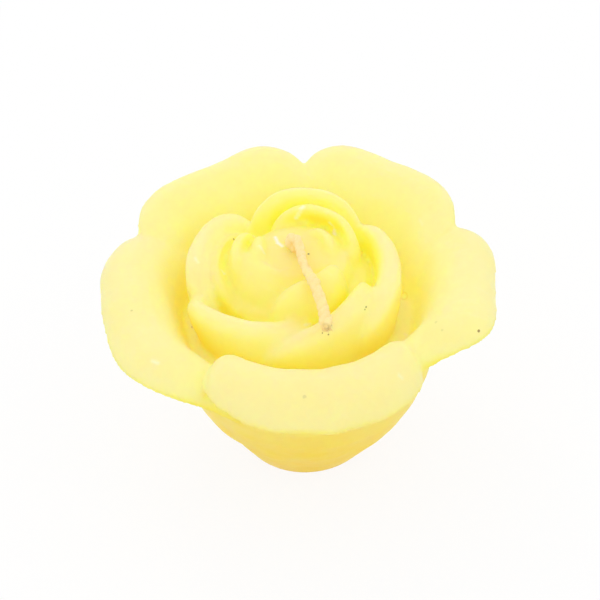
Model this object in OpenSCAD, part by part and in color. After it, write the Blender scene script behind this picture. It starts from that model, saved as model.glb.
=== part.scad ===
// Rose-shaped floating candle: one cast wax bloom on a rounded bowl, with its
// wick and the small pressed-metal foot that holds the wick in the base.
// The flat base rests on z = 0 and the wick rises along the z axis.
// Directions are degrees round that axis: 0 is the right, -90 the front.
// Every petal is named for where it stands seen from the front.

/* [Bowl] */
// Radius of the flat the candle stands on
base_r = 10.5; // [8:0.5:13]
// Radius of the bowl where it meets the outer petals
bowl_r = 24; // [23:0.5:25.5]
// Height of the bowl where it meets the outer petals
bowl_h = 23; // [20:0.5:26]
// Height of the groove floor between the outer and the middle petals
groove_z = 31; // [30:0.5:33]
// Radius of the core inside the middle petals
core_r = 14.6; // [13.6:0.1:15]
// Height of the hollow between the middle petals and the bud
cup_z = 42; // [42:0.1:43]

/* [Outer petals] */
// Radius at which the outer petals are rooted in the bowl
outer_root_r = 13; // [11:0.5:14]
// Height at which the outer petals are rooted in the bowl
outer_root_z = 9; // [7:0.5:11]
// Radius of the lower flank of the outer petals
outer_flank_r = 24.5; // [22.5:0.5:25.5]
// Height of the lower flank of the outer petals
outer_flank_z = 15; // [13:0.5:17]
// Thickness of an outer petal at its root
outer_root_t = 5; // [4:0.1:6]
// Thickness of an outer petal near its rim
outer_rim_t = 2.8; // [2:0.1:3.6]
// Radius of the crest where an outer petal turns outwards
outer_crest_r = 28; // [26:0.5:30]
// Direction of the left petal
left_dir = 190; // [188:1:194]
// Half of the angle that the left petal spans
left_half = 49; // [45:1:51]
// Reach of the left petal from the axis
left_reach = 37.3; // [35:0.1:39]
// Crest height of the left petal
left_crest_z = 40.8; // [39:0.1:43]
// Height of the lip of the left petal
left_lip_z = 39; // [37:0.1:41]
// How much the lip of the left petal rises towards its front end
left_end_rise = 5; // [4.5:0.5:7]
// Direction of the back left petal
back_left_dir = 121; // [118:1:124]
// Half of the angle that the back left petal spans
back_left_half = 46.5; // [44:0.5:49]
// Reach of the back left petal from the axis
back_left_reach = 31.7; // [30.5:0.1:33.5]
// Direction of the back right petal
back_right_dir = 52.5; // [50:0.5:56]
// Half of the angle that the back right petal spans
back_right_half = 43; // [41:1:46]
// Reach of the back right petal from the axis
back_right_reach = 33; // [31.5:0.1:35]
// Radius of the crest of the two back petals, which stand more upright
back_crest_r = 26.6; // [25:0.1:28]
// Crest height of the two back petals
back_crest_z = 43.4; // [42:0.1:45]
// Height of the lips of the two back petals
back_lip_z = 46.5; // [45:0.1:48]
// How far the blunt corners of a back petal stand past its middle
back_corner = 3.6; // [1:0.1:4]
// Direction of the right petal
right_dir = -6; // [-9:1:-3]
// Half of the angle that the right petal spans
right_half = 41; // [39:1:44]
// Reach of the right petal from the axis
right_reach = 37.2; // [35:0.1:39]
// Crest height of the right petal
right_crest_z = 41.4; // [39:0.1:43]
// Height of the lip of the right petal
right_lip_z = 40.7; // [38:0.1:42]
// How much the lip of the right petal rises towards its front end
right_end_rise = 7.5; // [7:0.5:9]
// Direction of the front petal
front_dir = -82; // [-84:0.5:-80]
// Half of the angle that the front petal spans
front_half = 46.5; // [45:0.5:49]
// Reach of the front petal from the axis
front_reach = 36.4; // [35:0.1:38]
// Height of the lower flank of the front petal
front_flank_z = 12; // [10:0.5:14]
// Radius of the crest of the front petal, which curls over the most
front_crest_r = 26.7; // [25:0.1:28]
// Crest height of the front petal
front_crest_z = 39.6; // [38:0.1:42]
// Height of the lip of the front petal
front_lip_z = 34.5; // [33:0.1:37]
// How much the lip of the front petal rises towards its left end
front_left_rise = 8; // [6:0.5:8.5]
// How much the lip of the front petal rises towards its right end
front_right_rise = 2.5; // [1.5:0.5:3.5]
// How much the lip of the front petal draws in towards its left end
front_left_draw = 3.2; // [2.6:0.1:3.6]
// How much the lip of the front petal draws in towards its right end
front_right_draw = 6.5; // [5.5:0.1:7.5]

/* [Middle petals] */
// Radius at which the middle petals are rooted in the core
mid_root_r = 10; // [8:0.5:11]
// Height at which the middle petals are rooted
mid_root_z = 20; // [16:0.5:22]
// Height of the flank of the middle petals
mid_flank_z = 26; // [24:0.5:28]
// Thickness of a middle petal at its root
mid_root_t = 4; // [3:0.1:5]
// Thickness of the front middle petals near their rims
mid_rim_t = 3.4; // [2.6:0.1:4]
// How far below its rim a middle petal is widest
mid_shoulder_drop = 7.8; // [6:0.1:9]
// How far a middle petal is wider there than at its rim
mid_shoulder_out = 0.3; // [0:0.1:1]
// Rim radius of the left middle petal
mid_left_r = 18.4; // [17.6:0.1:19.2]
// Rim height of the left middle petal
mid_left_z = 47; // [45:0.1:48]
// Rim radius of the right middle petal
mid_right_r = 16.9; // [16.2:0.1:18]
// Rim height of the right middle petal
mid_right_z = 46.2; // [45:0.1:48]
// Rim radius of the front left middle petal
mid_front_left_r = 17.2; // [16.5:0.1:18]
// Rim height of the front left middle petal
mid_front_left_z = 43.6; // [42:0.1:45]
// Rim radius of the front middle petal
mid_front_r = 16.6; // [16:0.1:17.5]
// Rim height of the front middle petal
mid_front_z = 44.8; // [43:0.1:46]
// Rim radius of the back middle petal
mid_back_r = 15.2; // [14.5:0.1:16]
// Rim height of the back middle petal
mid_back_z = 50.2; // [49:0.1:51]
// Thickness of the rim of the back middle petal
mid_back_t = 4; // [3:0.1:4.5]
// Thickness of the rims of the left and the right middle petals
mid_side_t = 4.8; // [4:0.1:5.2]

/* [Bud] */
// Radius at which the bud petals are rooted in the core
bud_root_r = 6; // [5:0.5:8]
// Height at which the bud petals are rooted
bud_root_z = 24; // [20:0.5:26]
// Height of the flank of the bud petals
bud_flank_z = 30; // [28:0.5:32]
// Radius of the flank of the bud, round its left and front
bud_r = 13.2; // [12.7:0.1:13.5]
// Thickness of a bud petal at its root
bud_root_t = 3; // [2.4:0.1:3.6]
// Thickness of a bud petal near its rim
bud_rim_t = 2.4; // [1.8:0.1:3]
// Radius of the low fold between the left middle petal and the bud
fold_r = 14.2; // [13.8:0.1:14.6]
// Height of that fold
fold_z = 44.9; // [44:0.1:45.5]
// Thickness of that fold
fold_t = 4.4; // [4:0.1:4.8]
// Radius of the closed heart of the bud
heart_r = 8.4; // [7.5:0.1:9]
// Height of the top of the heart, where the wick comes out
heart_z = 48.2; // [48:0.1:49]
// Height of the rims of the bud petals
bud_rim_z = 49.6; // [49:0.1:50.5]

/* [Wick] */
// Diameter of the braided wick
wick_d = 1.9; // [1.4:0.1:2.4]
// Gap between the wick and the wax round it
wick_clear = 0.1; // [0.05:0.05:0.2]
// How far in front of the middle of the bud the wick stands
wick_y = -0.5; // [-1.5:0.1:0.5]
// How far the wick rises straight out of the wax
wick_rise = 0.6; // [0.4:0.1:1.5]
// Radius of the bend where the wick falls over
wick_bend_r = 2.2; // [1.6:0.1:3]
// How much the braid swells where no wax holds it
wick_swell = 0.1; // [0.06:0.02:0.2]
// Length of the frayed tip
fray_l = 1.6; // [1:0.1:3]
// Width of the frayed tip
fray_d = 2.7; // [2.4:0.1:3.2]
// Direction in which the wick has fallen over
wick_dir = -77.5; // [-85:0.5:-70]
// How far from its own root the wick's tip lies
wick_reach = 19.5; // [17:0.5:21]
// Gap between the wick's tip and the height of the rim under it
wick_over_rim = 0.8; // [0.5:0.1:1.5]

/* [Wick foot] */
// Diameter of the pressed foot
foot_d = 12.5; // [10:0.5:15]
// Thickness of the foot's sheet
foot_t = 0.3; // [0.2:0.05:0.5]
// Height of the crimped neck above the sheet
neck_h = 3; // [2:0.5:5]
// Wall of the crimped neck
neck_t = 0.35; // [0.25:0.05:0.5]
// Gap between the foot and the wax
foot_clear = 0.15; // [0.1:0.05:0.3]

/* [Hidden] */
$fn = 64;
wax_colour = "khaki";
wick_colour = "oldlace";
foot_colour = "silver";
bore_r = wick_d / 2 + wick_clear;
neck_r = wick_d / 2 + wick_clear + neck_t;
neck_top_z = foot_t + neck_h;
over = 1;

// The largest share of a quarter turn that a petal's outline runs through, and
// how far along a petal its crest or shoulder is met.
outline_end = 86;
crest_v = 0.7;

// Heights and radii of the bowl and the core, from the flat up to the heart
bowl_profile = [
    [0, 0],
    [base_r, 0],
    [base_r + 2.1, 1.3],
    [base_r + 0.41 * (bowl_r - base_r), 0.28 * bowl_h],
    [base_r + 0.67 * (bowl_r - base_r), 0.52 * bowl_h],
    [bowl_r - 1.5, bowl_h - 5],
    [bowl_r, bowl_h],
    [bowl_r - 0.8, bowl_h + 2.5],
    [outer_flank_r - 0.9, groove_z],
    [core_r + 1, groove_z + 0.5],
    [core_r, cup_z - 1.5],
    [core_r - 1.5, cup_z],
    [heart_r + 3.4, cup_z + 0.5],
    [heart_r + 2.2, heart_z - 5.2],
    [heart_r + 1, heart_z - 2.2],
    [heart_r * 0.83, heart_z - 0.8],
    [heart_r * 0.48, heart_z - 0.2],
    [0, heart_z],
];

// Point at v on the cubic curve with the given control points
function curve(a, b, c, d, v) =
    pow(1 - v, 3) * a + 3 * pow(1 - v, 2) * v * b + 3 * (1 - v) * v * v * c + pow(v, 3) * d;

// The third control point that makes the curve pass through a crest at crest_v
function pull(root, flank, crest, lip) =
    (crest - pow(1 - crest_v, 3) * root - 3 * pow(1 - crest_v, 2) * crest_v * flank
        - pow(crest_v, 3) * lip) / (3 * (1 - crest_v) * crest_v * crest_v);

// A petal, swept round the axis as a curved sheet with a rounded rim. Its
// middle line runs root, flank, crest, lip, each as [radius, height]. Towards
// both ends the line shrinks to the root, so that the rim runs all round.
//   half    half of the angle it spans      blunt    how square its outline is
//   sweep   how the lip shifts from one end to the other, as [radius, height]
//   clock   how the lip draws in and rises towards its clockwise end
//   counter the same towards its counter-clockwise end
//   corner  how far the two corners of the tip stand past its middle
//   bias    how much larger the corner at its counter-clockwise end is
//   turn    how far the tip turns round the axis past the root
module petal(dir, half, root, flank, crest, lip, root_t, rim_t, blunt = 3.6, waist = 0.25,
             sweep = [0, 0], clock = [0, 0], counter = [0, 0], corner = 0, bias = 0, turn = 0,
             cols = 17, rows = 8) {
    bend = pull(root, flank, crest, lip);
    // Place across the petal, -1 to 1, and how far the line is drawn out there
    function across(t) = sign(t) * pow(abs(sin(t)), 2 / blunt);
    function drawn(t) = pow(cos(t), 2 / blunt);
    function shift(u) = [sweep[0] * u + corner * (1 - cos(288 * abs(u))) / 2 * (1 + bias * u), sweep[1] * u];
    function drawn_in(u) = (u < 0 ? clock[0] : counter[0]) * pow(abs(u), 2.5);
    function risen(u) = [0, (u < 0 ? clock[1] : counter[1]) * pow(abs(u), 2.5)];
    function line(t, v) = let (u = across(t), s = drawn(t)) curve(
        root,
        root + (flank - root) * s,
        root + (bend + (shift(u) + risen(u)) / 2 - root) * s,
        root + (lip + shift(u) + risen(u) - [drawn_in(u), 0] - root) * s,
        v);
    function place(t, v) = let (
        p = line(t, v),
        a = dir + half * across(t) * (1 - waist * (1 - v)) + turn * v
    ) [p[0] * cos(a), p[0] * sin(a), p[1]];
    // Direction across the sheet, from the slopes along both of its ways
    function normal(t, v) = let (
        n = cross(
            place(t + 0.6, v) - place(t - 0.6, v),
            place(t, min(1, v + 0.01)) - place(t, max(0, v - 0.01)))
    ) n / norm(n);
    // The sheet thins to nothing over the last part, which rounds the rim
    function thickness(v) = (rim_t + (root_t - rim_t) * pow(1 - v, 1.5))
        * sqrt(1 - pow(max(0, v - 0.86) / 0.14, 2));
    side = [for (i = [0 : rows - 1]) 1 - pow(1 - i / (rows - 1), 1.5)];
    outline = [for (i = [0 : cols - 1]) outline_end * (2 * i / (cols - 1) - 1)];
    ring_n = 2 * rows - 1;
    sheet = [
        for (t = outline) each [
            for (v = side) place(t, v) + normal(t, v) * thickness(v) / 2,
            for (i = [rows - 2 : -1 : 0]) place(t, side[i]) - normal(t, side[i]) * thickness(side[i]) / 2
        ]
    ];
    first = len(sheet);
    ends = [for (t = [outline[0], outline[cols - 1]]) place(t, 0.5)];
    sides = [
        for (i = [0 : cols - 2], j = [0 : ring_n - 1])
            let (a = i * ring_n + j, b = i * ring_n + (j + 1) % ring_n)
            each [[a, b, b + ring_n], [a, b + ring_n, a + ring_n]]
    ];
    caps = [
        for (j = [0 : ring_n - 1])
            let (a = j, b = (j + 1) % ring_n, far = (cols - 1) * ring_n)
            each [[first, b, a], [first + 1, far + a, far + b]]
    ];
    polyhedron(concat(sheet, ends), concat(sides, caps), convexity = 8);
}

// The five large petals that open outwards round the bloom
module outer_petals() {
    root = [outer_root_r, outer_root_z];
    flank = [outer_flank_r, outer_flank_z];
    petal(left_dir, left_half, root, flank, [outer_crest_r, left_crest_z], [left_reach, left_lip_z],
          outer_root_t, outer_rim_t, blunt = 4, sweep = [0.6, -1.5], counter = [0.5, left_end_rise],
          corner = 1.4, bias = 0.6);
    petal(back_left_dir, back_left_half, root, flank, [back_crest_r, back_crest_z],
          [back_left_reach, back_lip_z - 0.2], outer_root_t, outer_rim_t, blunt = 3.4,
          sweep = [-0.2, -1.5], corner = back_corner + 0.5, bias = 0.4);
    petal(back_right_dir, back_right_half, root, flank, [back_crest_r, back_crest_z],
          [back_right_reach, back_lip_z], outer_root_t, outer_rim_t, sweep = [0.7, 0],
          corner = back_corner - 0.6);
    petal(right_dir, right_half, root, flank, [outer_crest_r, right_crest_z],
          [right_reach, right_lip_z], outer_root_t, outer_rim_t, blunt = 3.8, sweep = [0, -1],
          clock = [0, right_end_rise], corner = 1.8, bias = -1);
    petal(front_dir, front_half, root, [outer_flank_r, front_flank_z], [front_crest_r, front_crest_z],
          [front_reach, front_lip_z], outer_root_t, outer_rim_t, blunt = 5, sweep = [-0.6, -1],
          clock = [front_left_draw, front_left_rise],
          counter = [front_right_draw, front_right_rise]);
}

// One petal of the cupped ring round the bud
module mid_petal(dir, half, r, z, rim_t = mid_rim_t, sweep = [0, 0], counter = [0, 0], blunt = 3.4) {
    petal(dir, half, [mid_root_r, mid_root_z], [r - 0.5, mid_flank_z],
          [r + mid_shoulder_out, z - mid_shoulder_drop], [r, z], mid_root_t, rim_t,
          blunt = blunt, waist = 0.1, sweep = sweep, counter = counter, cols = 13, rows = 7);
}

// The five petals of the middle ring, each tucked inside its neighbour
module middle_petals() {
    mid_petal(158, 46, mid_left_r, mid_left_z, rim_t = mid_side_t);
    mid_petal(0, 54, mid_right_r, mid_right_z, rim_t = mid_side_t, sweep = [-1.2, 1], blunt = 3.8);
    mid_petal(239, 54, mid_front_left_r, mid_front_left_z, sweep = [-5, 0], blunt = 4.6);
    mid_petal(-72, 52, mid_front_r, mid_front_z, sweep = [-2.4, 6], counter = [0, 2.5], blunt = 3.2);
    mid_petal(80, 49, mid_back_r, mid_back_z, rim_t = mid_back_t);
}

// One petal of the bud, given where its flank, shoulder and lip are
module bud_petal(dir, half, flank_r, shoulder, lip, blunt = 3, sweep = [0, 0], counter = [0, 0],
                 turn = 0, cols = 12, rows = 6) {
    petal(dir, half, [bud_root_r, bud_root_z], [flank_r, bud_flank_z], shoulder, lip,
          bud_root_t, bud_rim_t, blunt = blunt, waist = 0, sweep = sweep, counter = counter,
          turn = turn, cols = cols, rows = rows);
}

// The petals wound round the heart: one closes the left and the front and has
// a raised rim on its left, the pointed one stands in front right, and one
// closes the right and the back. Two low rims wind in towards the wick.
module bud_petals() {
    bud_petal(212, 76, bud_r, [bud_r - 1.9, bud_rim_z - 6.9], [bud_r - 6.2, bud_rim_z - 1.6],
              sweep = [-2.6, 0.3], counter = [0, -3]);
    bud_petal(172, 44, bud_r - 1.2, [bud_r - 1.4, bud_rim_z - 6.1], [bud_r - 2.8, bud_rim_z - 1.4],
              sweep = [0.2, -0.9]);
    bud_petal(-114, 44, bud_r, [bud_r - 0.4, bud_rim_z - 7], [bud_r - 3.6, bud_rim_z - 0.1],
              blunt = 3.6, sweep = [-1.2, 1.2], turn = 45);
    bud_petal(60, 66, bud_r - 1, [bud_r - 1.2, bud_rim_z - 5.6], [bud_r - 2.8, bud_rim_z + 0.2],
              blunt = 3.2);
    bud_petal(25, 62, heart_r, [heart_r - 1.2, heart_z - 4.2], [heart_r - 3, heart_z + 1.4],
              sweep = [0, -0.5], cols = 9, rows = 5);
    bud_petal(176, 50, heart_r - 0.9, [heart_r - 0.8, heart_z - 4.7], [heart_r - 1.8, heart_z + 0.7],
              sweep = [-1, -0.6], cols = 9, rows = 5);
}

// A low fold that fills the cup between the left middle petal and the bud
module left_fold() {
    petal(166, 46, [bud_root_r, bud_root_z], [fold_r - 0.2, bud_flank_z], [fold_r, fold_z - 3.4],
          [fold_r, fold_z], fold_t, fold_t, blunt = 3.2, waist = 0, cols = 12, rows = 6);
}

module wax_rose() {
    color(wax_colour)
    difference() {
        // Bowl, core and petals are cast as one body; no side of it is stretched
        resize([0, 0, 0]) {
            rotate_extrude($fn = 44) polygon(bowl_profile);
            outer_petals();
            middle_petals();
            bud_petals();
            left_fold();
        }
        translate([0, wick_y, -over]) cylinder(r = bore_r, h = heart_z + 6 * over);
        translate([0, wick_y, -over]) cylinder(r = foot_d / 2 + foot_clear, h = over + foot_t + foot_clear);
        translate([0, wick_y, 0]) cylinder(r = neck_r + foot_clear, h = neck_top_z + foot_clear);
    }
}

// The wick stands in its bore, bends over at the top of the bud and droops
// in an arc towards the rim of the front middle petal
bend_z = heart_z + wick_rise;
bend_end = 84;
tuck = 0.25;
droop_d = wick_d + 2 * wick_swell;
droop_start = [wick_bend_r * (1 - cos(bend_end)), bend_z + wick_bend_r * sin(bend_end)];
wick_tip = [wick_reach, mid_front_z + mid_rim_t / 2 + wick_over_rim + fray_d / 2];
droop_chord = wick_tip - droop_start;
droop_half = 90 - bend_end - atan2(droop_chord[1], droop_chord[0]);
droop_r = norm(droop_chord) / (2 * sin(droop_half));
droop_end = 180 - bend_end - 2 * droop_half;
droop_centre = [droop_start[0] + droop_r * cos(bend_end), 0, droop_start[1] - droop_r * sin(bend_end)];

// A length of braid bent in the plane of the wick, from angle a up to angle b
module braid_arc(r, a, b, d) {
    rotate([90, 0, 0]) rotate([0, 0, a]) rotate_extrude(angle = b - a, $fn = 96)
        translate([r, 0]) circle(d = d, $fn = 24);
}

module wick() {
    color(wick_colour)
    translate([0, wick_y, 0]) {
        translate([0, 0, foot_t]) cylinder(d = wick_d, h = bend_z + tuck - foot_t);
        rotate([0, 0, wick_dir]) {
            translate([wick_bend_r, 0, bend_z])
                braid_arc(wick_bend_r, 180 - bend_end - tuck * 30, 180, wick_d + wick_swell);
            translate(droop_centre) {
                braid_arc(droop_r, droop_end, 180 - bend_end, droop_d);
                // The tip carries straight on and spreads
                rotate([0, -droop_end, 0]) translate([droop_r, 0, tuck]) rotate([180, 0, 0])
                    cylinder(d1 = droop_d - wick_swell, d2 = fray_d, h = fray_l + tuck);
            }
        }
    }
}

// A thin round foot with a crimped neck that grips the bottom of the wick
module wick_sustainer() {
    color(foot_colour)
    translate([0, wick_y, 0])
    difference() {
        union() {
            cylinder(d = foot_d, h = foot_t);
            cylinder(r = neck_r, h = foot_t + neck_h);
        }
        translate([0, 0, foot_t]) cylinder(r = bore_r, h = neck_h + over);
    }
}

wax_rose();
wick();
wick_sustainer();
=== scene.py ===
import bpy, bmesh, math, random
import numpy as np
from mathutils import Vector, Matrix, noise
from mathutils.bvhtree import BVHTree


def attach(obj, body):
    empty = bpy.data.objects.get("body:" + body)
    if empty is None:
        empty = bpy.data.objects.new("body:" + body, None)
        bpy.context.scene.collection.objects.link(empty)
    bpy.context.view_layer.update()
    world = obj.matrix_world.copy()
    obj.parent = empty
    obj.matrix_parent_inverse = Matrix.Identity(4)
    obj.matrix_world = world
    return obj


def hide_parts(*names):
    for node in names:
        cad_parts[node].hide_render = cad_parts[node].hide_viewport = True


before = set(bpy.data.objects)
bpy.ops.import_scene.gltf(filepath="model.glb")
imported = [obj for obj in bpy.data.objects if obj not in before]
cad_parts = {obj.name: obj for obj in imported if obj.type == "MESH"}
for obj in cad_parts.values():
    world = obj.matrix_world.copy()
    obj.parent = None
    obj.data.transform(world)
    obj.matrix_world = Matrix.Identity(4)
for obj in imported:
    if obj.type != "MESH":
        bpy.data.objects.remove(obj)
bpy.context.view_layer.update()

MM = 0.001
WHITE = (1, 1, 1, 1)
MAX_BOUNCES = 32  # so many that light comes back out of the hollows between the petals
scene = bpy.context.scene
random.seed(7)
scene.view_settings.view_transform = "Standard"
scene.cycles.max_bounces = MAX_BOUNCES
scene.cycles.diffuse_bounces = MAX_BOUNCES


# Camera. The photograph was taken from about 42 degrees above the table.
FRAME_PX = 600
MIDDLE_PX = 300
SENSOR_MM = 36.0
FOCAL_PX = 1751.0
ELEVATION = math.radians(42.0)
DISTANCE = 0.340
ROLL = math.radians(-2.2)
AIM = Vector((0.0, 0.0, 0.025))
AIM_PX = (300.0, 341.0)


def camera_matrix():
    """Place and turn of a camera that sees the aim at its pixel of the photograph."""
    forward = Vector((0.0, math.cos(ELEVATION), -math.sin(ELEVATION)))
    right = forward.cross(Vector((0, 0, 1))).normalized()
    up = right.cross(forward)
    eye = AIM - forward * DISTANCE
    aside = (AIM_PX[0] - MIDDLE_PX) / FOCAL_PX * DISTANCE
    above = (MIDDLE_PX - AIM_PX[1]) / FOCAL_PX * DISTANCE
    rolled_right = right * math.cos(ROLL) + up * math.sin(ROLL)
    rolled_up = -right * math.sin(ROLL) + up * math.cos(ROLL)
    middle_of_view = AIM - rolled_right * aside - rolled_up * above
    look = (middle_of_view - eye).normalized()
    side = (rolled_right - look * rolled_right.dot(look)).normalized()
    matrix = Matrix((side, side.cross(look), -look)).transposed().to_4x4()
    matrix.translation = eye
    return matrix


cam_data = bpy.data.cameras.new("photo_camera")
cam_data.sensor_width = SENSOR_MM
cam_data.lens = FOCAL_PX / FRAME_PX * SENSOR_MM
cam_data.clip_start = 0.01
cam = bpy.data.objects.new("photo_camera", cam_data)
scene.collection.objects.link(cam)
cam.matrix_world = camera_matrix()
scene.camera = cam


# Meshes from sections
def smooth_mesh(name, verts, faces, shade=True):
    mesh = bpy.data.meshes.new(name)
    mesh.from_pydata([tuple(v) for v in verts], [], [tuple(f) for f in faces])
    mesh.update()
    if shade:
        mesh.shade_smooth()
    ob = bpy.data.objects.new(name, mesh)
    scene.collection.objects.link(ob)
    return ob


def joined(parts):
    """Points and faces of several parts as one list each."""
    verts, faces = [], []
    for part_verts, part_faces in parts:
        faces += [tuple(i + len(verts) for i in face) for face in part_faces]
        verts += part_verts
    return verts, faces


def loft(rings):
    """Skin over a row of closed rings, with a fan of triangles over either end."""
    m, k = rings.shape[:2]
    verts = list(rings.reshape(-1, 3))
    faces = [(i * k + j, i * k + (j + 1) % k, (i + 1) * k + (j + 1) % k, (i + 1) * k + j)
             for i in range(m - 1) for j in range(k)]
    first, last = len(verts), len(verts) + 1
    verts += [rings[0].mean(0), rings[-1].mean(0)]
    for j in range(k):
        faces.append((first, (j + 1) % k, j))
        faces.append((last, (m - 1) * k + j, (m - 1) * k + (j + 1) % k))
    return verts, faces


def revolve(profile, steps=160):
    """Skin of a profile of (radius, height) places that is turned round the axis."""
    radius, height = np.array(profile, float).T
    angles = np.linspace(0, 2 * math.pi, steps, endpoint=False)
    rings = np.stack([np.stack([radius * math.cos(a), radius * math.sin(a), height], -1) for a in angles])
    m, k = rings.shape[:2]
    faces = [(i * k + j, ((i + 1) % m) * k + j, ((i + 1) % m) * k + (j + 1) % k, i * k + (j + 1) % k)
             for i in range(m) for j in range(k)]
    return list(rings.reshape(-1, 3)), faces


# Petals. Each is a curved sheet, from its root in the core over the flank and the crest to the lip.
END_ANGLE = math.radians(86)  # the outline's sections stop here, short of its pinched ends
BLUNT = 3.6  # power of the outline: 2 is an ellipse, more is squarer
CORNER_WAVE = math.radians(288)  # the lip reaches out most at its corners, and less at the very ends
END_POWER = 2.5  # how late the draw and the rise at a petal's ends set in
LIP = 3  # the lip's number among the control points of a middle line
LIP_SHARES = (0, 0, 0.5, 1.0)  # how far each control point follows the lip's moves
ROW_POWER = 1.5  # the rows of points stand closer together towards the lip
THIN_POWER = 1.5  # how the sheet thins out from its root to the rim
RIM_START = 0.86  # from here to the lip the rim is rounded off
CREST_WAY = 0.7  # the crest lies at this share of the way from root to lip
SMALL_STEP = 0.01  # for the slopes of the sheet
LEAST_COSINE = 1e-6
LEAST_LENGTH = 1e-9


def middle_sheet(petal, angle, way):
    """Places on a petal's middle sheet: angle runs from end to end, way from root to lip."""
    power = 2.0 / petal.get("blunt", BLUNT)
    sine = np.sin(angle)
    cosine = np.clip(np.cos(angle), LEAST_COSINE, 1)
    u = np.sign(sine) * np.abs(sine) ** power
    shrink = cosine ** power
    sweep_out, sweep_up = petal.get("sweep", (0.0, 0.0))
    corner = (1 - np.cos(CORNER_WAVE * np.abs(u))) / 2
    tip = petal.get("corner", 0.0) * corner * (1 + petal.get("bias", 0.0) * u)
    ends = [petal.get(key, (0.0, 0.0)) for key in ("cw_end", "ccw_end")]
    draw, rise = (np.where(u < 0, *(end[i] for end in ends)) * np.abs(u) ** END_POWER for i in (0, 1))
    root_r, root_z = petal["line"][0]
    control = []
    for k, (place_r, place_z) in enumerate(petal["line"]):
        outward = LIP_SHARES[k] * (sweep_out * u + tip)
        upward = LIP_SHARES[k] * (sweep_up * u + rise)
        if k == LIP:
            outward = outward - draw
        control.append((root_r + (place_r + outward - root_r) * shrink,
                        root_z + (place_z + upward - root_z) * shrink))
    back = 1 - way
    weights = (back ** 3, 3 * back * back * way, 3 * back * way * way, way ** 3)
    radius = sum(weights[k] * control[k][0] for k in range(4))
    height = sum(weights[k] * control[k][1] for k in range(4))
    width = petal["half"] * u * (1 - petal.get("waist", 0.0) * (1 - way))
    bearing = np.radians(petal["dir"] + width + petal.get("turn", 0.0) * way)
    return np.stack([radius * np.cos(bearing), radius * np.sin(bearing), height], -1)


def petal_rings(petal, sections=45, rows=26):
    """Closed cross sections of one petal, in millimetres: outside, over the rim, inside."""
    angles = np.linspace(-END_ANGLE, END_ANGLE, sections)
    ways = 1 - (1 - np.linspace(0, 1, rows)) ** ROW_POWER
    angle, way = np.meshgrid(angles, ways, indexing="ij")
    sheet = middle_sheet(petal, angle, way)
    along = middle_sheet(petal, angle + SMALL_STEP, way) - middle_sheet(petal, angle - SMALL_STEP, way)
    higher = middle_sheet(petal, angle, np.clip(way + SMALL_STEP, 0, 1))
    lower = middle_sheet(petal, angle, np.clip(way - SMALL_STEP, 0, 1))
    normal = np.cross(along, higher - lower)
    normal /= np.maximum(np.linalg.norm(normal, axis=-1, keepdims=True), LEAST_LENGTH)
    root_thick, rim_thick = petal["thick"]
    thick = rim_thick + (root_thick - rim_thick) * (1 - way) ** THIN_POWER
    past_rim = np.clip((way - RIM_START) / (1 - RIM_START), 0, 1)
    half_thick = (thick * np.sqrt(np.clip(1 - past_rim * past_rim, 0, 1)))[..., None] / 2
    inside = (sheet - normal * half_thick)[:, :-1][:, ::-1]
    return np.concatenate([sheet + normal * half_thick, inside], 1)


def line_through(root, flank, crest, lip):
    """Control points of a petal's middle line, which starts towards the flank and passes the crest."""
    root, flank, crest, lip = (np.array(place, float) for place in (root, flank, crest, lip))
    t = CREST_WAY
    k = 1 - t
    bend = (crest - k ** 3 * root - 3 * k * k * t * flank - t ** 3 * lip) / (3 * k * t * t)
    return [root, flank, bend, lip]


# Directions and half widths are in degrees, places on a middle line are (radius, height) in mm, and
# thick is the sheet's thickness at the root and at the rim.
def outer(direction, half, crest, lip, flank_z=15.0, **more):
    """One of the five open petals round the bloom."""
    line = line_through(root=(13, 9), flank=(24.5, flank_z), crest=crest, lip=lip)
    return dict(dir=direction, half=half, line=line, thick=(5.0, 2.8), waist=0.25, **more)


def middle(direction, half, lip_r, lip_z, rim_thick, **more):
    """One of the five cupped petals inside the open ones."""
    line = line_through(root=(10, 20), flank=(lip_r - 0.5, 26), crest=(lip_r + 0.3, lip_z - 7.8),
                        lip=(lip_r, lip_z))
    return dict(dir=direction, half=half, line=line, thick=(4.0, rim_thick), waist=0.1, **more)


def bud(direction, half, flank_r, crest, lip, thick=(3.0, 2.4), **more):
    """One of the small petals that are wound round the heart."""
    line = line_through(root=(6, 24), flank=(flank_r, 30), crest=crest, lip=lip)
    return dict(dir=direction, half=half, line=line, thick=thick, **more)


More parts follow.
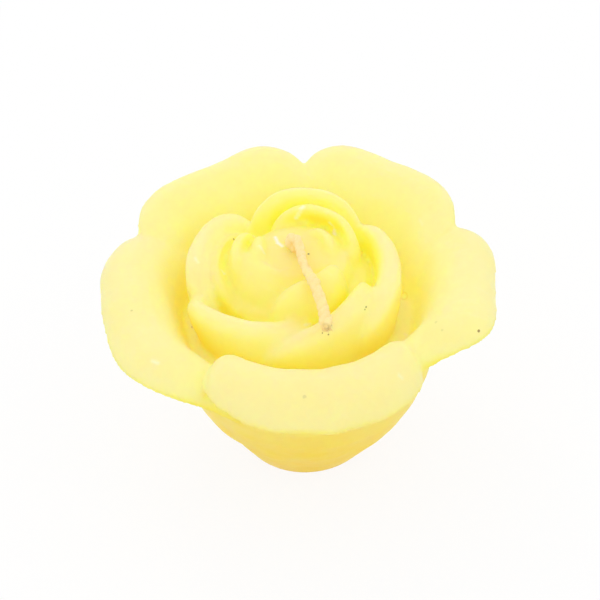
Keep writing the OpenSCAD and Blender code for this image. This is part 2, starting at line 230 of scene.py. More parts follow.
PETALS = [
    outer(190, 49, (28, 40.8), (37.3, 39), blunt=4.0, sweep=(0.6, -1.5), corner=1.4, bias=0.6,
          ccw_end=(0.5, 5)),
    outer(121, 46.5, (26.6, 43.4), (31.7, 46.3), blunt=3.4, sweep=(-0.2, -1.5), corner=4.1, bias=0.4),
    outer(52.5, 43, (26.6, 43.4), (33.0, 46.5), blunt=3.6, sweep=(0.7, 0), corner=3.0),
    outer(-6, 41, (28, 41.4), (37.2, 40.7), blunt=3.8, sweep=(0, -1), corner=1.8, bias=-1,
          cw_end=(0, 7.5)),
    outer(-82, 46.5, (26.7, 39.6), (36.4, 34.5), 12.0, blunt=5, sweep=(-0.6, -1), cw_end=(3.2, 8),
          ccw_end=(6.5, 2.5)),
    middle(158, 46, 18.4, 47, 4.8, blunt=3.4),
    middle(0, 54, 16.9, 46.2, 4.8, blunt=3.8, sweep=(-1.2, 1)),
    middle(239, 54, 17.2, 43.6, 3.4, blunt=4.6, sweep=(-5, 0)),
    middle(-72, 52, 16.6, 44.8, 3.4, blunt=3.2, sweep=(-2.4, 6), ccw_end=(0, 2.5)),
    middle(80, 49, 15.2, 50.2, 4.0, blunt=3.4),
    bud(166, 46, 14, (14.2, 41.5), (14.2, 44.9), thick=(4.4, 4.4), blunt=3.2),
    bud(212, 76, 13.2, (11.3, 42.7), (7, 48.0), blunt=3.0, sweep=(-2.6, 0.3), ccw_end=(0, -3)),
    bud(172, 44, 12.0, (11.8, 43.5), (10.4, 48.2), blunt=3.0, sweep=(0.2, -0.9)),
    bud(-114, 44, 13.2, (12.8, 42.6), (9.6, 49.5), blunt=3.6, sweep=(-1.2, 1.2), turn=45),
    bud(60, 66, 12.2, (12.0, 44.0), (10.4, 49.8), blunt=3.2),
    bud(25, 62, 8.4, (7.2, 44.0), (5.4, 49.6), blunt=3.0, sweep=(0, -0.5)),
    bud(176, 50, 7.5, (7.6, 43.5), (6.6, 48.9), blunt=3.0, sweep=(-1.0, -0.6)),
]

# Bowl and core: (radius, height) in mm, from the flat up the outside and under the petals to the heart
BOWL = [
    (0, 0), (10.5, 0), (12.6, 1.3), (16.0, 6.4), (19.6, 12), (22.5, 18), (24, 23), (23.6, 25.5),
    (23.6, 31), (15.6, 31.5), (14.6, 40.5), (13.1, 42), (11.8, 42.5), (10.6, 43.0), (9.4, 46.0),
    (7.0, 47.4), (4.0, 48.0), (0, 48.2),
]
FLAT_SHIFT = 0.5  # mm that the flat stands to the right of the bloom's axis
LEAN = 1.1  # mm more that the bowl stands to the right over its flat
LEAN_TOP = 12  # height from which the bowl leans by all of it
STRAIGHT_Z = 36  # from this height on the core stands on the bloom's axis again
STRAIGHTENS = 10  # over this much height below it


def leaned(point):
    """A place of the bowl, moved to the right as the bowl leans at its height."""
    shift = FLAT_SHIFT + LEAN * min(point[2], LEAN_TOP) / LEAN_TOP
    fade = min(1, max(0, (STRAIGHT_Z - point[2]) / STRAIGHTENS))
    return point + np.array((shift * fade, 0, 0))


VOXEL_MM = 0.54
SOFTEN_TIMES = 3


def melted(parts):
    """One mesh of all parts, with the creases between them melted in as in a casting."""
    raw = smooth_mesh("wax_raw", *joined(parts), shade=False)
    bm = bmesh.new()
    bm.from_mesh(raw.data)
    bmesh.ops.recalc_face_normals(bm, faces=bm.faces)
    bm.to_mesh(raw.data)
    bm.free()
    melt = raw.modifiers.new("melt", "REMESH")
    melt.mode = "VOXEL"
    melt.voxel_size = VOXEL_MM
    soften = raw.modifiers.new("soften", "SMOOTH")
    soften.iterations = SOFTEN_TIMES
    soften.factor = 0.5
    mesh = bpy.data.meshes.new_from_object(raw.evaluated_get(bpy.context.evaluated_depsgraph_get()))
    bpy.data.objects.remove(raw)
    mesh.name = "wax_bloom"
    return mesh


def read_rows(items, key, width, kind=float):
    """A property of all points or edges of a mesh, one row for each."""
    values = np.empty(len(items) * width, kind)
    items.foreach_get(key, values)
    return values.reshape(-1, width)


bowl_verts, bowl_faces = revolve(BOWL)
bowl = ([leaned(v) for v in bowl_verts], bowl_faces)
wax_mesh = melted([loft(petal_rings(petal)) for petal in PETALS] + [bowl])
points = read_rows(wax_mesh.vertices, "co", 3)
normals = read_rows(wax_mesh.vertices, "normal", 3)
edges = read_rows(wax_mesh.edges, "vertices", 2, int)


# What the wax's colour depends on, as one value for each point; all of them steer painted light and shade
def blur(values, times):
    """Each point's value averaged half and half with its neighbours', so many times over."""
    val = np.array(values, float)
    neighbours = np.bincount(edges.ravel(), minlength=len(points)).astype(float)
    for _ in range(times):
        total = np.zeros_like(val)
        np.add.at(total, edges[:, 0], val[edges[:, 1]])
        np.add.at(total, edges[:, 1], val[edges[:, 0]])
        val = 0.5 * val + 0.5 * total / neighbours.reshape((-1,) + (1,) * (val.ndim - 1))
    return val


RAYS = 14
REACH_MM = 40.0
LIFT_MM = 0.15  # the rays start this much over the wax
FAR_LOSS = 0.5  # a petal at full reach counts this much less than one close by
TABLE_SHARE = 0.45  # what a ray down to the table counts
NEARLY_UP = 0.9  # a normal that rises more than this is crossed with the X axis instead of Z


def closed_in(tree, rays):
    """Share of the directions over each point that the wax or the table closes off, 0 to 1."""
    golden = math.pi * (3 - math.sqrt(5))
    directions = []
    for i in range(rays):
        rise = math.sqrt(1 - (i + 0.5) / rays)
        aside = math.sqrt(1 - rise * rise)
        directions.append((aside * math.cos(i * golden), aside * math.sin(i * golden), rise))
    spin = np.random.default_rng(11).uniform(0, 2 * math.pi, len(points))
    cos, sin = np.cos(spin)[:, None], np.sin(spin)[:, None]
    helper = np.where(np.abs(normals[:, 2:3]) < NEARLY_UP, [[0.0, 0.0, 1.0]], [[1.0, 0.0, 0.0]])
    side = np.cross(helper, normals)
    side /= np.linalg.norm(side, axis=1, keepdims=True)
    other = np.cross(normals, side)
    side, other = side * cos + other * sin, other * cos - side * sin
    starts = (points + normals * LIFT_MM).tolist()
    found = np.zeros(len(points))
    for x, y, z in directions:
        ways = side * x + other * y + normals * z
        for i, (start, way) in enumerate(zip(starts, ways.tolist())):
            distance = tree.ray_cast(start, way, REACH_MM)[3]
            if distance is not None:
                found[i] += 1 - FAR_LOSS * distance / REACH_MM
            elif way[2] < 0:
                found[i] += TABLE_SHARE
    return found / rays


def between(values, start, end):
    """0 at the start, 1 at the end and beyond, evenly in between."""
    return np.clip((values - start) / (end - start), 0, 1)


HOLLOW_MM = 2.5  # depth of the deepest hollows
HOLLOW_BLUR = 60
SHUT_BLUR = 4
hollow = np.einsum("ij,ij->i", blur(points, HOLLOW_BLUR) - points, normals)
tree = BVHTree.FromPolygons([tuple(v) for v in points], [tuple(p.vertices) for p in wax_mesh.polygons])
# How closed in each point is; it steers the painted light in the hollows
shut = blur(closed_in(tree, RAYS), SHUT_BLUR)


# Uneven casting: soft waves, each with its rate per mm and its height in mm
BROAD_RATE, BROAD_MM = 0.11, 0.30
FINE_RATE, FINE_MM = 0.31, 0.10
FINE_START = Vector((9, 3, 5))
WAVES_FROM = 4  # mm over the flat; the waves are full at WAVES_FULL
WAVES_FULL = 12


def casting_wave(point):
    """Height in mm of the waves of the wax at a point."""
    broad = noise.noise(Vector(point) * BROAD_RATE) * BROAD_MM
    fine = noise.noise(Vector(point) * FINE_RATE + FINE_START) * FINE_MM
    return broad + fine


waves = np.array([casting_wave(p) for p in points])
points = points + normals * (waves * between(points[:, 2], WAVES_FROM, WAVES_FULL))[:, None]
points[:, 2] = np.maximum(points[:, 2], 0.0)
wax_mesh.vertices.foreach_set("co", (points * MM).ravel())

HEART_R = 16.5  # mm round the axis that belong to the bud and the cup
HEART_FADE = 1.5
HEART_FLOOR = 30  # and only above this height
HEART_BLUR = 3
FLANK_TOP = 31  # the bowl's flank ends here, under the petals
FLANK_FADE = 5
FLANK_GAIN = 1.5
FLANK_SHARE = 0.5  # how much of the underside's painted shade the flank takes
DOWN_START = 0.3  # how much a normal that lies level counts as turned down
DOWN_GAIN = 1.2  # and by how much more for each unit that it sinks
UNDER_BLUR = 6
radius = np.hypot(points[:, 0], points[:, 1])
outward = np.einsum("ij,ij->i", normals[:, :2], points[:, :2]) / np.maximum(radius, 1)
# Painted shade: the faces turned down and the bowl's flank under the petals, where less light falls, are
# painted a deeper orange-yellow
flank = np.clip(outward * FLANK_GAIN, 0, 1) * between(points[:, 2], FLANK_TOP, FLANK_TOP - FLANK_FADE)
facing_down = np.clip(DOWN_START - normals[:, 2] * DOWN_GAIN, 0, 1)
under = blur(np.maximum(facing_down, FLANK_SHARE * flank), UNDER_BLUR)
in_heart = between(radius, HEART_R, HEART_R - HEART_FADE) * (points[:, 2] > HEART_FLOOR)
heart = blur(in_heart, HEART_BLUR)
SHADES = {
    "hollow": np.clip(hollow / HOLLOW_MM * 0.5 + 0.5, 0, 1),
    "shut": np.clip(shut, 0, 1),
    "under": under,
    "heart": heart,
}
for name, values in SHADES.items():
    wax_mesh.attributes.new(name, "FLOAT", "POINT").data.foreach_set("value", values)
wax_mesh.update()
wax_mesh.shade_smooth()
wax = bpy.data.objects.new("wax_bloom", wax_mesh)
scene.collection.objects.link(wax)

wax_tree = BVHTree.FromObject(wax, bpy.context.evaluated_depsgraph_get())


def on_wax(px, py):
    """The place of the wax that a pixel of the view shows, or None."""
    in_view = Vector(((px - MIDDLE_PX) / FOCAL_PX, (MIDDLE_PX - py) / FOCAL_PX, -1))
    way = (cam.matrix_world.to_3x3() @ in_view).normalized()
    return wax_tree.ray_cast(cam.matrix_world.translation, way)[0]


# Nodes
def set_inputs(node, values):
    for key, value in values.items():
        node.inputs[key].default_value = value


def nodes_of(owner):
    """The emptied node tree of a material or a world."""
    owner.use_nodes = True
    owner.node_tree.nodes.clear()
    return owner.node_tree


def add(nt, kind, inputs=None, **settings):
    node = nt.nodes.new(kind)
    for key, value in settings.items():
        setattr(node, key, value)
    set_inputs(node, inputs or {})
    return node


def feed(nt, socket, value):
    """Give a socket the output of another node, a number or a colour."""
    if hasattr(value, "links"):
        nt.links.new(value, socket)
    elif isinstance(value, tuple):
        socket.default_value = (*value, 1.0)
    else:
        socket.default_value = value


def mix_colour(nt, share, base, over, blend="MIX"):
    mix = add(nt, "ShaderNodeMix", data_type="RGBA", blend_type=blend)
    for socket, value in ((mix.inputs[0], share), (mix.inputs[6], base), (mix.inputs[7], over)):
        feed(nt, socket, value)
    return mix.outputs[2]


def math_node(nt, operation, *values, clamp=False):
    node = add(nt, "ShaderNodeMath", operation=operation, use_clamp=clamp)
    for socket, value in zip(node.inputs, values):
        feed(nt, socket, value)
    return node.outputs[0]


def scaled(nt, value, gain, offset, clamp=False):
    """The value times the gain plus the offset."""
    return math_node(nt, "MULTIPLY_ADD", value, gain, offset, clamp=clamp)


def fade(nt, value, gain, offset):
    """The value times the gain plus the offset, held between 0 and 1."""
    return scaled(nt, value, gain, offset, clamp=True)


def ramp(nt, value, stops):
    node = add(nt, "ShaderNodeValToRGB")
    nt.links.new(value, node.inputs[0])
    elements = node.color_ramp.elements
    while len(elements) < len(stops):
        elements.new(0.5)
    for element, (at, colour) in zip(elements, stops):
        element.position = at
        element.color = (*colour, 1.0)
    return node.outputs[0]


def noise_tex(nt, place, scale, detail, rough=0.5, distort=0.0):
    node = add(nt, "ShaderNodeTexNoise", inputs={"Scale": scale, "Detail": detail, "Roughness": rough,
                                                 "Distortion": distort})
    nt.links.new(place, node.inputs["Vector"])
    return node.outputs["Fac"]


def distance_from(nt, place, centre):
    """Distance of the shaded place from a fixed one."""
    gap = add(nt, "ShaderNodeVectorMath", operation="DISTANCE", inputs={1: centre})
    nt.links.new(place, gap.inputs[0])
    return gap.outputs["Value"]


def line_distance(nt, place, start, end):
    """Distance of the shaded place from the straight line between two fixed ones."""
    line = end - start
    offset = add(nt, "ShaderNodeVectorMath", operation="SUBTRACT", inputs={1: start})
    nt.links.new(place, offset.inputs[0])
    along = add(nt, "ShaderNodeVectorMath", operation="DOT_PRODUCT", inputs={1: line / line.length_squared})
    nt.links.new(offset.outputs[0], along.inputs[0])
    share = math_node(nt, "MULTIPLY", along.outputs["Value"], 1.0, clamp=True)
    nearest = add(nt, "ShaderNodeVectorMath", operation="SCALE", inputs={0: line})
    nt.links.new(share, nearest.inputs["Scale"])
    gap = add(nt, "ShaderNodeVectorMath", operation="DISTANCE")
    nt.links.new(offset.outputs[0], gap.inputs[0])
    nt.links.new(nearest.outputs[0], gap.inputs[1])
    return gap.outputs["Value"]


def ragged_spot(nt, distance, raggedness, size, spread, falloff, plateau):
    """1 near the middle of a mark of this size and 0 off it, with an edge that noise makes ragged."""
    shifted = math_node(nt, "ADD", distance, -size * (spread / 2))
    ragged = scaled(nt, raggedness, gain=size * spread, offset=shifted)
    return fade(nt, ragged, gain=-falloff / size, offset=plateau)


def start_material(name):
    """A material, its node tree, its Principled shader and the shaded place on the object."""
    mat = bpy.data.materials.new(name)
    nt = nodes_of(mat)
    out = add(nt, "ShaderNodeOutputMaterial")
    bsdf = add(nt, "ShaderNodeBsdfPrincipled")
    nt.links.new(bsdf.outputs[0], out.inputs[0])
    place = add(nt, "ShaderNodeTexCoord").outputs["Object"]
    return mat, nt, bsdf, place


def add_bump(nt, bsdf, height, strength, distance):
    bump = add(nt, "ShaderNodeBump", inputs={"Strength": strength, "Distance": distance})
    nt.links.new(height, bump.inputs["Height"])
    nt.links.new(bump.outputs[0], bsdf.inputs["Normal"])


# Wax
SPECK_DARK = (0.16, 0.12, 0.05)
SPECK_BROWN = (0.2, 0.15, 0.07)
SPECK_DULL = (0.45, 0.36, 0.14)
SPECK_OCHRE = (0.62, 0.52, 0.22)
SPECKS = [  # pixel of the view, radius in mm, strength, colour
    ((366, 307), 0.22, 0.9, SPECK_DARK),
    ((365, 309.5), 0.18, 0.8, SPECK_BROWN),
    ((478.7, 331), 0.30, 0.85, (0.14, 0.11, 0.05)),
    ((233.8, 239.3), 0.22, 0.75, (0.3, 0.22, 0.07)),
    ((131.5, 310.5), 0.26, 0.35, SPECK_DULL),
    ((192, 327), 0.24, 0.35, SPECK_DULL),
    ((304.6, 396.6), 0.35, 0.45, (0.55, 0.5, 0.3)),
    ((436, 322), 0.34, 0.35, SPECK_OCHRE),
    ((442, 330), 0.26, 0.3, SPECK_OCHRE),
    ((308.5, 254), 0.22, 0.8, SPECK_DARK),
    ((328.5, 334.5), 0.16, 0.8, SPECK_DARK),
    ((322.5, 333), 0.14, 0.7, SPECK_BROWN),
]
# Painted highlight: pale streaks and glints that stand for the lamps' shine on the glossy wax
PAINTED_HIGHLIGHT_TONE = (1.0, 0.93, 0.78)
# Painted shade: a deep yellow line in the dark gap behind a petal on the left
PAINTED_GAP_SHADE_TONE = (1.0, 0.78, 0.08)
PAINTED_LIGHT_STREAKS = [  # painted highlights and one painted shade, as short lines: from and to pixel of the view, radius in mm, strength, colour
    ((296, 218), (303, 207), 0.5, 0.8, PAINTED_HIGHLIGHT_TONE),
    ((330, 223), (335, 234), 0.45, 0.8, PAINTED_HIGHLIGHT_TONE),
    ((275, 237), (278, 243), 0.4, 0.9, PAINTED_HIGHLIGHT_TONE),
    ((278, 243), (282, 246), 0.45, 0.9, PAINTED_HIGHLIGHT_TONE),
    ((260, 246), (264, 253), 0.4, 0.35, PAINTED_HIGHLIGHT_TONE),
    ((222, 271), (224, 274), 0.35, 0.6, PAINTED_HIGHLIGHT_TONE),
    ((420, 220), (422, 224), 0.5, 0.35, PAINTED_HIGHLIGHT_TONE),
    ((405, 334), (409, 336), 0.5, 0.35, PAINTED_HIGHLIGHT_TONE),
    ((399, 375), (402, 378), 0.5, 0.35, PAINTED_HIGHLIGHT_TONE),
    ((152, 361), (158, 363), 0.45, 0.5, PAINTED_HIGHLIGHT_TONE),
    ((195, 258), (198, 262), 0.4, 0.4, PAINTED_HIGHLIGHT_TONE),
    ((305, 325), (310, 324), 0.4, 0.45, PAINTED_HIGHLIGHT_TONE),
    # painted shade in the gap behind a petal
    ((240, 314), (263, 318), 0.9, 0.35, PAINTED_GAP_SHADE_TONE),
]
LONGEST_PAINTED_STREAK = 6 * MM  # a longer one would run across from one petal to another
PAINTED_STREAK_POWER = 1.6
SMEAR_STRENGTH = 0.35
BUBBLE_PX = (404, 296)  # a bubble burst here, in the right hollow, and left a ring
BUBBLE_R = 0.7 * MM
BUBBLE_WIDTH = 0.3 * MM
BUBBLE_STRENGTH = 0.5

# Base colours from the ridges (0) to the hollows (1), painted paler towards the hollows and the closed-in
# places:
# painted light that makes up for the shade that falls there. They are warmer on the ridges, because light
# that goes back and forth between the petals warms the hollows anyway.
PETAL_TONES_WITH_PAINTED_LIGHT = [
    (0.0, (1.0, 0.73, 0.38)),
    (0.25, (1.0, 0.785, 0.385)),
    (0.35, (1.0, 0.835, 0.40)),
    (0.5, (1.0, 0.895, 0.43)),
    (0.65, (1.0, 0.945, 0.44)),
    (0.85, (1.0, 0.988, 0.45)),
]
# The bud and the inner faces of the middle petals are painted a fuller yellow: painted light, for the light
# warmed in the cup between them
HEART_TONES_WITH_PAINTED_LIGHT = [
    (0.0, (1.0, 0.785, 0.29)),
    (0.25, (1.0, 0.815, 0.27)),
    (0.45, (1.0, 0.865, 0.22)),
    (0.65, (1.0, 0.91, 0.21)),
    (0.85, (1.0, 0.96, 0.22)),
]
LEVEL_START = 0.2  # level of an open, even place, between the ridges and the hollows
CLOUD_TINT = (1.0, 0.995, 0.80)
SMEAR_TONE = (1.0, 0.82, 0.54)
# painted shade for the underside and the bowl's flank
UNDERSIDE_PAINTED_SHADE = (1.0, 0.68, 0.0)
RING_TONE = (0.9, 0.72, 0.2)


def add_specks(nt, place, tone):
    for pixel, radius_mm, strength, colour in SPECKS:
        centre = on_wax(*pixel)
        if centre is None:
            continue
        raggedness = noise_tex(nt, place, scale=3000.0, detail=2.0)
        spot = ragged_spot(nt, distance_from(nt, place, centre), raggedness, radius_mm * MM,
                           spread=0.9, falloff=2.2, plateau=2.5)
        tone = mix_colour(nt, math_node(nt, "MULTIPLY", spot, strength), tone, colour)
    return tone


# Painted highlights, and one painted shade line, laid on the wax as short ragged streaks
def add_painted_light_streaks(nt, place, tone):
    raggedness = noise_tex(nt, place, scale=1600.0, detail=3.0, rough=0.6, distort=0.8)
    for from_px, to_px, radius_mm, strength, colour in PAINTED_LIGHT_STREAKS:
        start, end = on_wax(*from_px), on_wax(*to_px)
        if start is None or end is None or (start - end).length > LONGEST_PAINTED_STREAK:
            continue
        spot = ragged_spot(nt, line_distance(nt, place, start, end), raggedness, radius_mm * MM,
                           spread=1.2, falloff=0.75, plateau=1.1)
        spot = math_node(nt, "POWER", spot, PAINTED_STREAK_POWER)
        tone = mix_colour(nt, math_node(nt, "MULTIPLY", spot, strength), tone, colour)
    return tone


def add_bubble_ring(nt, place, tone):
    from_middle = distance_from(nt, place, on_wax(*BUBBLE_PX))
    off_ring = math_node(nt, "ABSOLUTE", math_node(nt, "ADD", from_middle, -BUBBLE_R))
    ring = fade(nt, off_ring, gain=-1 / BUBBLE_WIDTH, offset=1.0)
    return mix_colour(nt, math_node(nt, "MULTIPLY", ring, BUBBLE_STRENGTH), tone, RING_TONE)


def add_smears(nt, place, tone, deep):
    """Pale, slightly chalky smears, which keep off the deep places."""
    stretched = add(nt, "ShaderNodeMapping", inputs={"Scale": (1.0, 2.6, 1.0), "Rotation": (0.3, 0.2, 0.5)})
    nt.links.new(place, stretched.inputs[0])
    smear = noise_tex(nt, stretched.outputs[0], scale=130.0, detail=6.0, rough=0.65, distort=1.2)
    smear = fade(nt, smear, gain=3.2, offset=-1.75)
    smear = math_node(nt, "MULTIPLY", smear, fade(nt, deep, gain=-1.8, offset=1.0))
    return mix_colour(nt, math_node(nt, "MULTIPLY", smear, SMEAR_STRENGTH), tone, SMEAR_TONE)


def yellow_wax():
    """Satin wax whose tone follows how deep a place lies, as painted light, with painted shade underneath,
    painted highlights and what the casting left on it.
    """
    mat, nt, bsdf, place = start_material("yellow_wax")
    shades = {name: add(nt, "ShaderNodeAttribute", attribute_name=name).outputs["Fac"] for name in SHADES}
    # painted light: the deeper and more closed in a place, the paler its base colour, making up for the
    # shade there
    deep = scaled(nt, shades["hollow"], gain=0.5, offset=scaled(nt, shades["shut"], gain=0.9, offset=-0.25))
    level = math_node(nt, "ADD", deep, LEVEL_START)
    # the bud and the cup get the fuller painted yellow of the painted light
    tone = mix_colour(nt, shades["heart"], ramp(nt, level, PETAL_TONES_WITH_PAINTED_LIGHT), ramp(nt, level, HEART_TONES_WITH_PAINTED_LIGHT))
    cloud = noise_tex(nt, place, scale=70.0, detail=5.0, rough=0.6, distort=0.4)
    tone = mix_colour(nt, fade(nt, cloud, gain=1.6, offset=-0.62), tone, CLOUD_TINT, "MULTIPLY")
    tone = add_smears(nt, place, tone, deep)
    # painted shade on the faces turned down and on the flank
    tone = mix_colour(nt, shades["under"], tone, UNDERSIDE_PAINTED_SHADE)
    tone = add_specks(nt, place, tone)
    # painted highlights and a painted shade line
    tone = add_painted_light_streaks(nt, place, tone)
    tone = add_bubble_ring(nt, place, tone)
    nt.links.new(tone, bsdf.inputs["Base Color"])
    dullness = noise_tex(nt, place, scale=240.0, detail=4.0, rough=0.6)
    nt.links.new(fade(nt, dullness, gain=0.22, offset=0.33), bsdf.inputs["Roughness"])
    set_inputs(bsdf, {"Subsurface Weight": 1.0, "Subsurface Radius": (1.0, 0.7, 0.12),
                      "Subsurface Scale": 0.012, "IOR": 1.44, "Specular IOR Level": 0.36,
                      "Coat Weight": 0.08, "Coat Roughness": 0.22})
    lump = noise_tex(nt, place, scale=420.0, detail=5.0, rough=0.55)
    grain = noise_tex(nt, place, scale=2600.0, detail=3.0, rough=0.6)
    add_bump(nt, bsdf, scaled(nt, grain, gain=0.10, offset=lump), strength=0.22, distance=0.6 * MM)
    return mat


wax_mesh.materials.clear()
wax_mesh.materials.append(yellow_wax())


# Wick: three plies round a bent middle line, given by places in mm from the foot to the tip
WICK_PATH = [
    (0, -0.5, 0.5), (0, -0.5, 40), (0.0, -0.4, 47.0), (-0.5, -0.1, 48.8), (-0.9, 0.4, 49.5),
    (-0.4, 0.3, 50.2), (0.2, -0.8, 50.4), (0.6, -2.6, 50.2), (0.9, -4.9, 50.1), (1.2, -7.2, 50.2),
    (1.9, -9.6, 50.2), (2.9, -12.3, 49.9), (3.9, -15.6, 48.8), (4.55, -18.8, 47.6), (4.9, -21.0, 46.9),
]
PLIES = 3
PITCH = 5.2  # mm of wick for one turn of a ply
UNEVEN_TURN = 0.7
UNEVEN_TURN_RATE = 0.9
SWING_WIDE = 0.40  # mm that a ply swings to either side of the middle line
SWING_NARROWS = 0.02  # and this much less where the wick is free
SWING_DEEP = 0.26
PLY_R = 0.46
PLY_SWELLS = 0.22  # mm by which a ply is thicker where the wick is free
FREE_FROM = 46  # mm along the wick from which the plies swell, just inside the top of the wax
FREE_FADE = 3
FAN_LENGTH = 2.2  # mm at the tip over which the plies fan out
FAN = 0.55
FAN_POWER = 1.5
GIRTH_AT = (0, 47, 50, 53.5, 60, 63)  # mm along the wick; the last girth is the tip's
GIRTH = (1, 1, 1.12, 0.85, 0.85, 1.1, 1.15)
BLOB_AT = (2.9, -12.3, 49.9)  # a blob of wax on the braid
BLOB_R = 0.72
BLOB_OFF = 0.55
BLOB_STEPS = 4
TIP_FIBRES = 34
LOOSE_FIBRES = 46
LOOSE_FROM = 0.72  # share of the wick's length from which fibres stand off the braid
LOOSE_OFF = 0.75
LOOSE_END = 8  # points of the middle line at the tip that have no loose fibres


def spline(path, per_mm=8.0):
    """Points along a smooth curve through the given ones, evenly spaced, and how far along each is."""
    p = np.array(path, float)
    p = np.vstack([2 * p[0] - p[1], p, 2 * p[-1] - p[-2]])
    curve = []
    for i in range(1, len(p) - 2):
        steps = max(2, int(np.linalg.norm(p[i + 1] - p[i]) * per_mm))
        a = 2 * p[i]
        b = p[i + 1] - p[i - 1]
        c = 2 * p[i - 1] - 5 * p[i] + 4 * p[i + 1] - p[i + 2]
        d = -p[i - 1] + 3 * p[i] - 3 * p[i + 1] + p[i + 2]
        for t in np.linspace(0, 1, steps, endpoint=False):
            curve.append(0.5 * (a + b * t + c * t * t + d * t ** 3))
    curve.append(p[-2])
    curve = np.array(curve)
    reached = np.concatenate([[0], np.cumsum(np.linalg.norm(np.diff(curve, axis=0), axis=1))])
    even = np.linspace(0, reached[-1], int(reached[-1] * per_mm))
    return np.stack([np.interp(even, reached, curve[:, i]) for i in range(3)], -1), even


def carried_frames(curve):
    """Direction along a curve and two side directions, carried along it without twisting."""
    along = np.gradient(curve, axis=0)
    along /= np.linalg.norm(along, axis=1, keepdims=True)
    side = np.zeros_like(curve)
    carried = np.array([1.0, 0.0, 0.0])
    for i in range(len(curve)):
        carried = carried - along[i] * carried.dot(along[i])
        carried /= np.linalg.norm(carried)
        side[i] = carried
    return along, side, np.cross(along, side)


def tube(curve, radii, around):
    _, side, other = carried_frames(curve)
    angles = np.linspace(0, 2 * math.pi, around, endpoint=False)
    radii = np.broadcast_to(np.asarray(radii, float), (len(curve),))[:, None, None]
    rings = curve[:, None, :] + radii * (side[:, None, :] * np.cos(angles)[None, :, None]
                                         + other[:, None, :] * np.sin(angles)[None, :, None])
    return loft(rings)


centre, length = spline(WICK_PATH)
ALONG, SIDE, OTHER = carried_frames(centre)
tip, tip_way = centre[-1], ALONG[-1]


def ply(k):
    """One of the plies: it runs in a figure of eight round the wick's middle line."""
    uneven_turn = UNEVEN_TURN * np.sin(length * UNEVEN_TURN_RATE)
    phase = 2 * math.pi * length / PITCH + uneven_turn + 2 * math.pi * k / PLIES
    free = between(length, FREE_FROM, FREE_FROM + FREE_FADE)
    fan = 1 + FAN * np.clip((length - length[-1] + FAN_LENGTH) / FAN_LENGTH, 0, 1) ** FAN_POWER
    girth = np.interp(length, (*GIRTH_AT, length[-1]), GIRTH)
    wide = (SWING_WIDE - SWING_NARROWS * free) * fan * girth
    deep = SWING_DEEP * fan * girth
    curve = centre + SIDE * (wide * np.sin(phase))[:, None] + OTHER * (deep * np.sin(2 * phase))[:, None]
    uneven = 0.10 * np.sin(length * 2.3 + k) + 0.06 * np.sin(length * 5.1 + 2 * k)
    return tube(curve, (PLY_R + PLY_SWELLS * free) * (1 + free * uneven) * girth, around=14)


def wax_blob():
    """A small drop of wax that has set on top of the braid."""
    at = int(np.argmin(np.linalg.norm(centre - np.array(BLOB_AT), axis=1)))
    curve = centre[at - BLOB_STEPS:at + BLOB_STEPS + 1] + OTHER[at] * BLOB_OFF
    round_off = 1 - np.linspace(-1, 1, 2 * BLOB_STEPS + 1) ** 2
    return tube(curve, BLOB_R * np.sqrt(np.clip(round_off, 0.02, 1)), around=12)


def random_side(i):
    """A random direction square to the wick at one of its points."""
    angle = random.uniform(0, 2 * math.pi)
    return SIDE[i] * math.cos(angle) + OTHER[i] * math.sin(angle)


def tip_fibre():
    """A frayed fibre at the tip."""
    side = random_side(-1)
    start = tip - tip_way * random.uniform(0.4, 1.6) + side * random.uniform(0.1, 0.75)
    run = random.uniform(0.5, 1.5)
    bend = np.array(side * random.uniform(0.1, 0.8) + Vector((0, 0, random.uniform(-0.25, 0.3))))
    halfway = start + tip_way * run * 0.5 + bend * run * 0.2
    end = start + tip_way * run + bend * run * 0.6
    curve, _ = spline([start, halfway, end], per_mm=10)
    return tube(curve, np.linspace(random.uniform(0.09, 0.2), 0.04, len(curve)), around=5)


def loose_fibre():
    """A thin fibre that stands off the braid, on the part of the wick that is free."""
    at = random.randrange(int(len(centre) * LOOSE_FROM), len(centre) - LOOSE_END)
    side = random_side(at)
    start = centre[at] + side * LOOSE_OFF
    way = ALONG[at] * random.choice((-1, 1))
    run = random.uniform(0.5, 1.6)
    halfway = start + way * run * 0.5 + side * random.uniform(0.05, 0.3)
    end = start + way * run + side * random.uniform(0.0, 0.5)
    curve, _ = spline([start, halfway, end], per_mm=8)
    return tube(curve, np.linspace(0.05, 0.02, len(curve)), around=4)


strands = [ply(k) for k in range(PLIES)] + [wax_blob()]
strands += [tip_fibre() for _ in range(TIP_FIBRES)]
strands += [loose_fibre() for _ in range(LOOSE_FIBRES)]
wick_verts, wick_faces = joined(strands)
wick = smooth_mesh("wick_braid", [np.array(v) * MM for v in wick_verts], wick_faces)

COTTON_TONES = [
    (0.30, (1.0, 0.74, 0.29)),
    (0.55, (1.0, 0.79, 0.36)),
    (0.75, (1.0, 0.85, 0.49)),
]
WAXED_TONE = (1.0, 0.85, 0.33)
BURNT_TONE = (0.36, 0.21, 0.06)
BURNT_OFF = (0.5, 0.3, -0.2)  # mm from the wick's end to the middle of the brown tip


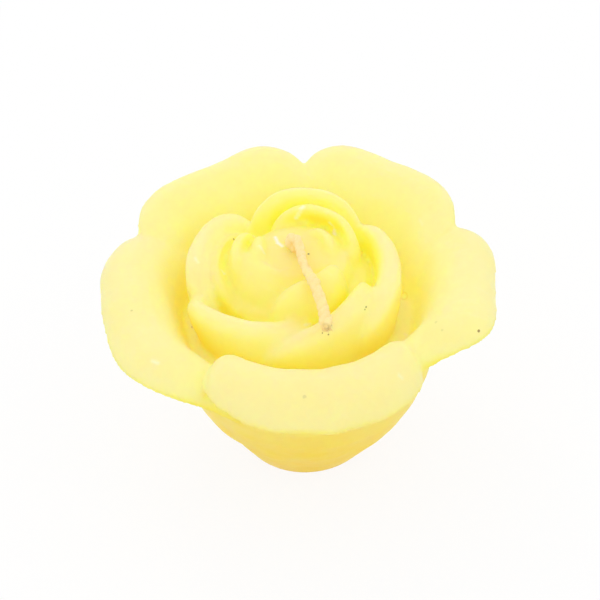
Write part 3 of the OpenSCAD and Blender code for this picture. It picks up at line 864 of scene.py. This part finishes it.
def cotton_wick():
    """Waxed cotton fibres, brown where the tip was burnt."""
    mat, nt, bsdf, place = start_material("cotton_wick")
    fibre = noise_tex(nt, place, scale=1500.0, detail=5.0, rough=0.7, distort=0.6)
    tone = ramp(nt, fibre, COTTON_TONES)
    waxed = noise_tex(nt, place, scale=330.0, detail=3.0, rough=0.6)
    tone = mix_colour(nt, fade(nt, waxed, gain=3.0, offset=-1.3), tone, WAXED_TONE)
    from_tip = distance_from(nt, place, tuple((tip + np.array(BURNT_OFF)) * MM))
    burnt = fade(nt, from_tip, gain=-700.0, offset=1.15)
    burnt = math_node(nt, "MULTIPLY", burnt, fade(nt, fibre, gain=4.0, offset=-1.7))
    tone = mix_colour(nt, burnt, tone, BURNT_TONE)
    nt.links.new(tone, bsdf.inputs["Base Color"])
    set_inputs(bsdf, {"Roughness": 0.8, "Sheen Weight": 0.25})
    add_bump(nt, bsdf, fibre, strength=0.5, distance=0.2 * MM)
    return mat


wick.data.materials.append(cotton_wick())


# Foot of the wick, which keeps the solid's own mesh
TIN_TONES = [(0.3, (0.50, 0.50, 0.49)), (0.7, (0.68, 0.68, 0.66))]


def tinned_sheet():
    mat, nt, bsdf, place = start_material("tinned_sheet")
    grain = noise_tex(nt, place, scale=900.0, detail=4.0, rough=0.6)
    nt.links.new(ramp(nt, grain, TIN_TONES), bsdf.inputs["Base Color"])
    set_inputs(bsdf, {"Metallic": 1.0, "Roughness": 0.38})
    add_bump(nt, bsdf, grain, strength=0.15, distance=0.2 * MM)
    return mat


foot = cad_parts["wick_sustainer"]
foot.data.materials.clear()
foot.data.materials.append(tinned_sheet())


# White ground, world and lamps
FLOOR_SIZE = 6.0
FLOOR_PAINT = (0.94, 0.94, 0.94, 1)
FLOOR_GLOW = 0.88  # share of plain white in what the camera sees of the floor; the rest holds the shadow
LAMP_AIM = Vector((0, 0, 0.03))


def white_floor():
    mat = bpy.data.materials.new("white_floor")
    nt = nodes_of(mat)
    out = add(nt, "ShaderNodeOutputMaterial")
    rays = add(nt, "ShaderNodeLightPath")
    paint = add(nt, "ShaderNodeBsdfDiffuse", inputs={"Color": FLOOR_PAINT})
    glow = add(nt, "ShaderNodeEmission", inputs={"Color": WHITE, "Strength": 1.0})
    mix = add(nt, "ShaderNodeMixShader")
    seen = math_node(nt, "MAXIMUM", rays.outputs["Is Camera Ray"], rays.outputs["Is Glossy Ray"])
    seen = math_node(nt, "MAXIMUM", seen, rays.outputs["Is Transmission Ray"])
    nt.links.new(math_node(nt, "MULTIPLY", seen, FLOOR_GLOW), mix.inputs[0])
    nt.links.new(paint.outputs[0], mix.inputs[1])
    nt.links.new(glow.outputs[0], mix.inputs[2])
    nt.links.new(mix.outputs[0], out.inputs[0])
    return mat


def white_world():
    world = bpy.data.worlds.new("studio")
    nt = nodes_of(world)
    out = add(nt, "ShaderNodeOutputWorld")
    background = add(nt, "ShaderNodeBackground", inputs={"Color": WHITE, "Strength": 1.0})
    nt.links.new(background.outputs[0], out.inputs[0])
    return world


def softbox(name, at, side, watts):
    """A square lamp that faces the candle."""
    light = bpy.data.lights.new(name, "AREA")
    light.shape = "RECTANGLE"
    light.size = side
    light.size_y = side
    light.energy = watts
    lamp = bpy.data.objects.new(name, light)
    scene.collection.objects.link(lamp)
    lamp.location = at
    lamp.rotation_euler = (LAMP_AIM - Vector(at)).to_track_quat("-Z", "Y").to_euler()


bpy.ops.mesh.primitive_plane_add(size=FLOOR_SIZE, location=(0, 0, 0))
floor = bpy.context.object
floor.name = "floor"
floor.data.materials.append(white_floor())

scene.world = white_world()
softbox("key", at=(-0.30, 0.45, 0.95), side=0.22, watts=0.6)
softbox("fill", at=(0.6, -0.35, 0.8), side=0.2, watts=0.3)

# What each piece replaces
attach(wax, "root")
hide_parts("wax_rose")
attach(wick, "root")
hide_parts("wick")
